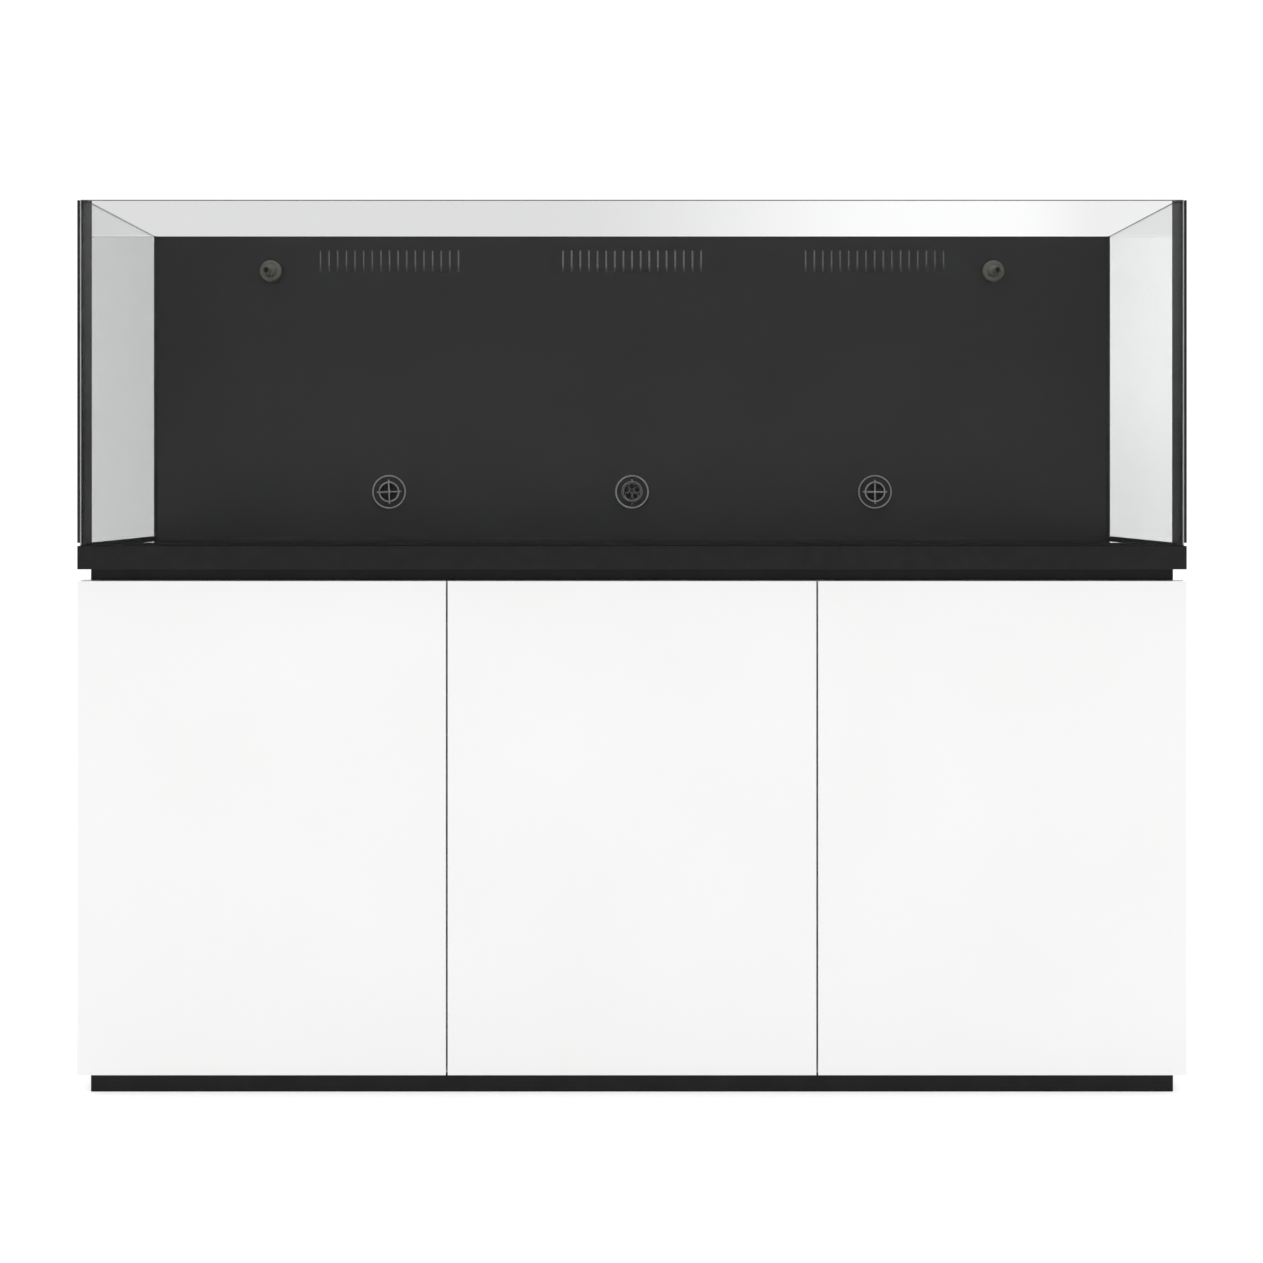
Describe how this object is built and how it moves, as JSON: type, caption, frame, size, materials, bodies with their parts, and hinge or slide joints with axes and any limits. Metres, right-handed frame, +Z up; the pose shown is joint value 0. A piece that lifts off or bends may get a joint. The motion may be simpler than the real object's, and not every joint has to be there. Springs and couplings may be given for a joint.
{
  "type": "aquarium on stand",
  "caption": "Rimless glass aquarium with a black rear overflow wall, on a white push-to-open cabinet that holds its sump and plumbing.",
  "frame": {"origin": "on the floor, under the centre of the cabinet", "axes": "+X along the tank to the right, seen from the doors; +Y from the doors to the back; +Z up"},
  "size_m": [1.8, 0.65, 1.452],
  "materials": {
    "clear_glass": "polished float glass, low-iron",
    "black_glass": "back-painted black, polished",
    "black_panel": "black sheet, slight gloss",
    "silicone": "black silicone",
    "black_trim": "satin black edging",
    "black_board": "black laminated board",
    "foam": "dark closed-cell foam",
    "white_lacquer": "white high-gloss lacquer on board",
    "white_board": "white melamine-faced board",
    "fitting_black": "moulded black fitting",
    "nozzle_grey": "moulded dark grey",
    "pipe_grey": "grey pressure pipe",
    "valve_body": "moulded dark grey",
    "lever_red": "moulded red",
    "hinge_steel": "nickel-plated steel",
    "latch_grey": "moulded light grey",
    "plunger_grey": "moulded grey",
    "sump_glass": "polished float glass",
    "baffle_black": "black acrylic",
    "tray_white": "white acrylic",
    "pump_black": "moulded black",
    "impeller_white": "moulded white"
  },
  "bodies": {
    "root": {"front_pane": "clear_glass", "rear_pane": "black_glass", "left_pane": "clear_glass", "right_pane": "clear_glass", "bottom_pane": "clear_glass", "weir_wall": "black_panel", "corner_seams": "silicone", "floor_seams": "silicone", "tank_base_trim": "black_trim", "base_board": "black_board", "foam_mat": "foam", "nozzle_bodies": "fitting_black", "port_guard_left": "fitting_black", "port_guard_middle": "fitting_black", "port_guard_right": "fitting_black", "wall_nuts": "fitting_black", "standpipes": "pipe_grey", "return_manifold": "pipe_grey", "tank_bulkheads": "fitting_black", "drain_pipe": "pipe_grey", "emergency_pipe": "pipe_grey", "return_pipe": "pipe_grey", "valve_bodies": "valve_body", "spacer_board": "black_board", "carcass_top": "white_board", "left_side_panel": "white_lacquer", "right_side_panel": "white_lacquer", "partition": "white_board", "front_post": "white_board", "back_panel": "white_board", "bottom_panel": "white_board", "shelf": "white_board", "shelf_pins": "hinge_steel", "plinth_boards": "black_board", "levelling_feet": "fitting_black", "cable_grommets": "fitting_black", "hinge_arms": "hinge_steel", "hinge_plates": "hinge_steel", "latch_housings": "latch_grey", "sump_panes": "sump_glass", "sump_baffles": "baffle_black", "strainer_tray": "tray_white", "strainer_cups": "fitting_black", "return_pump": "pump_black"},
    "door_left_leaf": {"door_left": "white_lacquer", "hinge_cups_left": "hinge_steel"},
    "door_middle_leaf": {"door_middle": "white_lacquer", "hinge_cups_middle": "hinge_steel"},
    "door_right_leaf": {"door_right": "white_lacquer", "hinge_cups_right": "hinge_steel"},
    "collar_left": {"nozzle_collar_left": "nozzle_grey"},
    "collar_right": {"nozzle_collar_right": "nozzle_grey"},
    "ball_left": {"nozzle_ball_left": "nozzle_grey"},
    "ball_right": {"nozzle_ball_right": "nozzle_grey"},
    "drain_lever": {"drain_valve_lever": "lever_red"},
    "return_lever": {"return_valve_lever": "lever_red"},
    "plunger_left": {"latch_plunger_left": "plunger_grey"},
    "plunger_middle": {"latch_plunger_middle": "plunger_grey"},
    "plunger_right": {"latch_plunger_right": "plunger_grey"},
    "impeller": {"pump_impeller": "impeller_white"}
  },
  "joints": [
    {"name": "door_left_swing", "type": "hinge", "parent": "root", "child": "door_left_leaf", "pos_m": [-0.891, -0.3185, 0.43], "axis": [0, 0, -1], "range_deg": [0, 95]},
    {"name": "door_middle_swing", "type": "hinge", "parent": "root", "child": "door_middle_leaf", "pos_m": [-0.29, -0.3185, 0.43], "axis": [0, 0, -1], "range_deg": [0, 95]},
    {"name": "door_right_swing", "type": "hinge", "parent": "root", "child": "door_right_leaf", "pos_m": [0.891, -0.3185, 0.43], "axis": [0, 0, 1], "range_deg": [0, 95]},
    {"name": "collar_left_turn", "type": "hinge", "parent": "root", "child": "collar_left", "pos_m": [-0.668, 0.196, 1.385], "axis": [0, -1, 0], "continuous": true},
    {"name": "collar_right_turn", "type": "hinge", "parent": "root", "child": "collar_right", "pos_m": [0.668, 0.196, 1.385], "axis": [0, -1, 0], "continuous": true},
    {"name": "ball_left_aim", "type": "hinge", "parent": "collar_left", "child": "ball_left", "pos_m": [-0.668, 0.191, 1.385], "axis": [0, 0, 1], "range_deg": [0, 40]},
    {"name": "ball_right_aim", "type": "hinge", "parent": "collar_right", "child": "ball_right", "pos_m": [0.668, 0.191, 1.385], "axis": [0, 0, -1], "range_deg": [0, 40]},
    {"name": "drain_lever_turn", "type": "hinge", "parent": "root", "child": "drain_lever", "pos_m": [-0.16, -0.014, 0.6], "axis": [0, 1, 0], "range_deg": [0, 90]},
    {"name": "return_lever_turn", "type": "hinge", "parent": "root", "child": "return_lever", "pos_m": [0.58, -0.01, 0.48], "axis": [0, 1, 0], "range_deg": [0, 90]},
    {"name": "latch_left_press", "type": "slide", "parent": "root", "child": "plunger_left", "axis": [0, 1, 0], "range_m": [0, 0.003], "stiffness_N_per_m": 400, "springref_m": -0.005},
    {"name": "latch_middle_press", "type": "slide", "parent": "root", "child": "plunger_middle", "axis": [0, 1, 0], "range_m": [0, 0.003], "stiffness_N_per_m": 400, "springref_m": -0.005},
    {"name": "latch_right_press", "type": "slide", "parent": "root", "child": "plunger_right", "axis": [0, 1, 0], "range_m": [0, 0.003], "stiffness_N_per_m": 400, "springref_m": -0.005},
    {"name": "impeller_spin", "type": "hinge", "parent": "root", "child": "impeller", "pos_m": [0.632, 0.03, 0.104], "axis": [1, 0, 0], "continuous": true}
  ]
}
